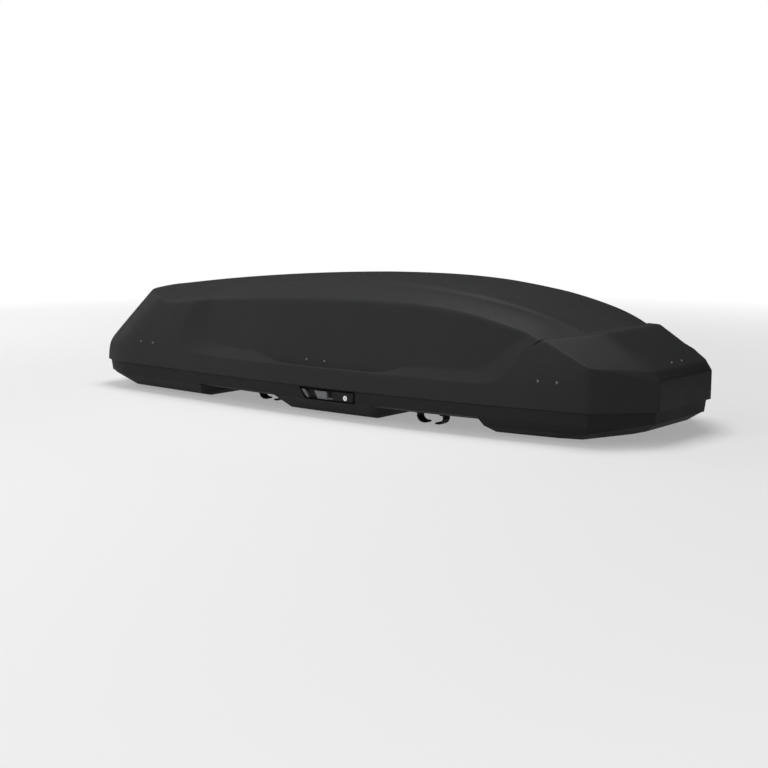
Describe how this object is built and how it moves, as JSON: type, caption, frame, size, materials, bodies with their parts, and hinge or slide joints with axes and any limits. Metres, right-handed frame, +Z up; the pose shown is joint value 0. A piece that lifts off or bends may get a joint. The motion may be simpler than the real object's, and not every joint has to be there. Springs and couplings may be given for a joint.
{
  "type": "roof cargo box",
  "caption": "Dual-side opening roof cargo box with a tapering octagonal nose, raked tail, side locks and claw clamps for crossbars",
  "frame": {"origin": "under the middle of the box, on the plane of the pods it stands on", "axes": "+X to the nose, +Y to the left side, +Z up"},
  "size_m": [2.15, 0.91, 0.431],
  "materials": {
    "charcoal_shell": "fine-grained matt",
    "black_plastic": "matt",
    "grey_plastic": "satin",
    "black_steel": "satin black",
    "steel": "zinc-plated",
    "aluminium": "brushed",
    "rubber": "matt"
  },
  "bodies": {
    "base": {"base_shell": "charcoal_shell", "floor_plates": "aluminium", "rim_seal": "rubber", "hinge_housings_left": "black_plastic", "hinge_housings_right": "black_plastic", "lock_housing_left": "black_plastic", "lock_housing_right": "black_plastic", "lifter_base_bracket_front": "black_steel", "lifter_base_bracket_rear": "black_steel", "lifter_spring_front": "steel", "lifter_spring_rear": "steel"},
    "claws_left": {"rotary_claws_left": "grey_plastic"},
    "claws_right": {"rotary_claws_right": "grey_plastic"},
    "lid": {"lid_shell": "charcoal_shell", "roof_bows": "black_steel", "lid_rivets": "steel", "lid_brackets_left": "black_steel", "lid_brackets_right": "black_steel", "hinge_pins_left": "steel", "hinge_pins_right": "steel", "lifter_lid_bracket_front": "black_steel", "lifter_lid_bracket_rear": "black_steel"},
    "lower_arm_front": {"lifter_lower_arm_front": "steel"},
    "upper_arm_front": {"lifter_upper_arm_front": "steel"},
    "lower_arm_rear": {"lifter_lower_arm_rear": "steel"},
    "upper_arm_rear": {"lifter_upper_arm_rear": "steel"},
    "lock_left": {"lock_slide_left": "steel", "lock_handle_left": "grey_plastic"},
    "key_left": {"key_barrel_left": "steel"},
    "lock_right": {"lock_slide_right": "steel", "lock_handle_right": "grey_plastic"},
    "key_right": {"key_barrel_right": "steel"},
    "clamp_front_left": {"clamp_carriage_front_left": "black_plastic", "clamp_pad_front_left": "rubber"},
    "knob_front_left": {"clamp_knob_front_left": "grey_plastic"},
    "claw_fore_front_left": {"clamp_claw_fore_front_left": "black_plastic"},
    "claw_aft_front_left": {"clamp_claw_aft_front_left": "black_plastic"},
    "clamp_front_right": {"clamp_carriage_front_right": "black_plastic", "clamp_pad_front_right": "rubber"},
    "knob_front_right": {"clamp_knob_front_right": "grey_plastic"},
    "claw_fore_front_right": {"clamp_claw_fore_front_right": "black_plastic"},
    "claw_aft_front_right": {"clamp_claw_aft_front_right": "black_plastic"},
    "clamp_rear_left": {"clamp_carriage_rear_left": "black_plastic", "clamp_pad_rear_left": "rubber"},
    "knob_rear_left": {"clamp_knob_rear_left": "grey_plastic"},
    "claw_fore_rear_left": {"clamp_claw_fore_rear_left": "black_plastic"},
    "claw_aft_rear_left": {"clamp_claw_aft_rear_left": "black_plastic"},
    "clamp_rear_right": {"clamp_carriage_rear_right": "black_plastic", "clamp_pad_rear_right": "rubber"},
    "knob_rear_right": {"clamp_knob_rear_right": "grey_plastic"},
    "claw_fore_rear_right": {"clamp_claw_fore_rear_right": "black_plastic"},
    "claw_aft_rear_right": {"clamp_claw_aft_rear_right": "black_plastic"}
  },
  "joints": [
    {"name": "open_right", "type": "hinge", "parent": "base", "child": "claws_left", "pos_m": [0, 0.35174, 0.073], "axis": [-0.9969, 0.0781, 0], "range_deg": [0, 50]},
    {"name": "open_left", "type": "hinge", "parent": "claws_left", "child": "lid", "pos_m": [0, -0.35174, 0.073], "axis": [0.9969, 0.0781, 0], "range_deg": [0, 50]},
    {"name": "claws_right_turn", "type": "hinge", "parent": "base", "child": "claws_right", "pos_m": [0, -0.35174, 0.073], "axis": [0.9969, 0.0781, 0], "range_deg": [0, 50]},
    {"name": "lower_arm_rear_turn", "type": "hinge", "parent": "base", "child": "lower_arm_rear", "pos_m": [-0.885, 0, 0.051], "axis": [0.9969, 0.0781, 0], "range_deg": [0, 50]},
    {"name": "upper_arm_rear_turn", "type": "hinge", "parent": "lid", "child": "upper_arm_rear", "pos_m": [-0.885, 0, 0.095], "axis": [0.9969, 0.0781, 0], "range_deg": [-50, 0]},
    {"name": "lower_arm_front_turn", "type": "hinge", "parent": "base", "child": "lower_arm_front", "pos_m": [0.925, 0, 0.051], "axis": [-0.9969, 0.0781, 0], "range_deg": [0, 50]},
    {"name": "upper_arm_front_turn", "type": "hinge", "parent": "lid", "child": "upper_arm_front", "pos_m": [0.925, 0, 0.095], "axis": [-0.9969, 0.0781, 0], "range_deg": [-50, 0]},
    {"name": "lock_left_slide", "type": "slide", "parent": "base", "child": "lock_left", "axis": [0.9969, -0.0781, 0], "range_m": [0, 0.022]},
    {"name": "key_left_turn", "type": "hinge", "parent": "base", "child": "key_left", "pos_m": [0.134, 0.41576, 0.072], "axis": [-0.0781, -0.9969, 0], "range_deg": [0, 90]},
    {"name": "lock_right_slide", "type": "slide", "parent": "base", "child": "lock_right", "axis": [0.9969, 0.0781, 0], "range_m": [0, 0.022]},
    {"name": "key_right_turn", "type": "hinge", "parent": "base", "child": "key_right", "pos_m": [0.134, -0.41576, 0.072], "axis": [0.0781, -0.9969, 0], "range_deg": [0, 90]},
    {"name": "clamp_front_left_slide", "type": "slide", "parent": "base", "child": "clamp_front_left", "axis": [1, 0, 0], "range_m": [-0.07, 0.07]},
    {"name": "knob_front_left_turn", "type": "hinge", "parent": "clamp_front_left", "child": "knob_front_left", "pos_m": [0.365, 0.275, 0.0751], "axis": [0, 0, 1], "range_deg": [0, 1080]},
    {"name": "claw_fore_front_left_turn", "type": "hinge", "parent": "clamp_front_left", "child": "claw_fore_front_left", "pos_m": [0.414, 0.275, 0.0355], "axis": [0, -1, 0], "range_deg": [0, 35]},
    {"name": "claw_aft_front_left_turn", "type": "hinge", "parent": "clamp_front_left", "child": "claw_aft_front_left", "pos_m": [0.316, 0.275, 0.0355], "axis": [0, 1, 0], "range_deg": [0, 35]},
    {"name": "clamp_front_right_slide", "type": "slide", "parent": "base", "child": "clamp_front_right", "axis": [1, 0, 0], "range_m": [-0.07, 0.07]},
    {"name": "knob_front_right_turn", "type": "hinge", "parent": "clamp_front_right", "child": "knob_front_right", "pos_m": [0.365, -0.275, 0.0751], "axis": [0, 0, 1], "range_deg": [0, 1080]},
    {"name": "claw_fore_front_right_turn", "type": "hinge", "parent": "clamp_front_right", "child": "claw_fore_front_right", "pos_m": [0.414, -0.275, 0.0355], "axis": [0, -1, 0], "range_deg": [0, 35]},
    {"name": "claw_aft_front_right_turn", "type": "hinge", "parent": "clamp_front_right", "child": "claw_aft_front_right", "pos_m": [0.316, -0.275, 0.0355], "axis": [0, 1, 0], "range_deg": [0, 35]},
    {"name": "clamp_rear_left_slide", "type": "slide", "parent": "base", "child": "clamp_rear_left", "axis": [1, 0, 0], "range_m": [-0.07, 0.07]},
    {"name": "knob_rear_left_turn", "type": "hinge", "parent": "clamp_rear_left", "child": "knob_rear_left", "pos_m": [-0.335, 0.275, 0.0751], "axis": [0, 0, 1], "range_deg": [0, 1080]},
    {"name": "claw_fore_rear_left_turn", "type": "hinge", "parent": "clamp_rear_left", "child": "claw_fore_rear_left", "pos_m": [-0.286, 0.275, 0.0355], "axis": [0, -1, 0], "range_deg": [0, 35]},
    {"name": "claw_aft_rear_left_turn", "type": "hinge", "parent": "clamp_rear_left", "child": "claw_aft_rear_left", "pos_m": [-0.384, 0.275, 0.0355], "axis": [0, 1, 0], "range_deg": [0, 35]},
    {"name": "clamp_rear_right_slide", "type": "slide", "parent": "base", "child": "clamp_rear_right", "axis": [1, 0, 0], "range_m": [-0.07, 0.07]},
    {"name": "knob_rear_right_turn", "type": "hinge", "parent": "clamp_rear_right", "child": "knob_rear_right", "pos_m": [-0.335, -0.275, 0.0751], "axis": [0, 0, 1], "range_deg": [0, 1080]},
    {"name": "claw_fore_rear_right_turn", "type": "hinge", "parent": "clamp_rear_right", "child": "claw_fore_rear_right", "pos_m": [-0.286, -0.275, 0.0355], "axis": [0, -1, 0], "range_deg": [0, 35]},
    {"name": "claw_aft_rear_right_turn", "type": "hinge", "parent": "clamp_rear_right", "child": "claw_aft_rear_right", "pos_m": [-0.384, -0.275, 0.0355], "axis": [0, 1, 0], "range_deg": [0, 35]}
  ],
  "couplings": [
    {"joint": "claws_right_turn", "follows": "open_left", "ratio": 1},
    {"joint": "lower_arm_rear_turn", "follows": "open_left", "ratio": 1},
    {"joint": "upper_arm_rear_turn", "follows": "open_left", "ratio": -1},
    {"joint": "lower_arm_front_turn", "follows": "open_right", "ratio": 1},
    {"joint": "upper_arm_front_turn", "follows": "open_right", "ratio": -1},
    {"joint": "claw_fore_front_left_turn", "follows": "knob_front_left_turn", "ratio": 0.032407},
    {"joint": "claw_aft_front_left_turn", "follows": "knob_front_left_turn", "ratio": 0.032407},
    {"joint": "claw_fore_front_right_turn", "follows": "knob_front_right_turn", "ratio": 0.032407},
    {"joint": "claw_aft_front_right_turn", "follows": "knob_front_right_turn", "ratio": 0.032407},
    {"joint": "claw_fore_rear_left_turn", "follows": "knob_rear_left_turn", "ratio": 0.032407},
    {"joint": "claw_aft_rear_left_turn", "follows": "knob_rear_left_turn", "ratio": 0.032407},
    {"joint": "claw_fore_rear_right_turn", "follows": "knob_rear_right_turn", "ratio": 0.032407},
    {"joint": "claw_aft_rear_right_turn", "follows": "knob_rear_right_turn", "ratio": 0.032407}
  ]
}
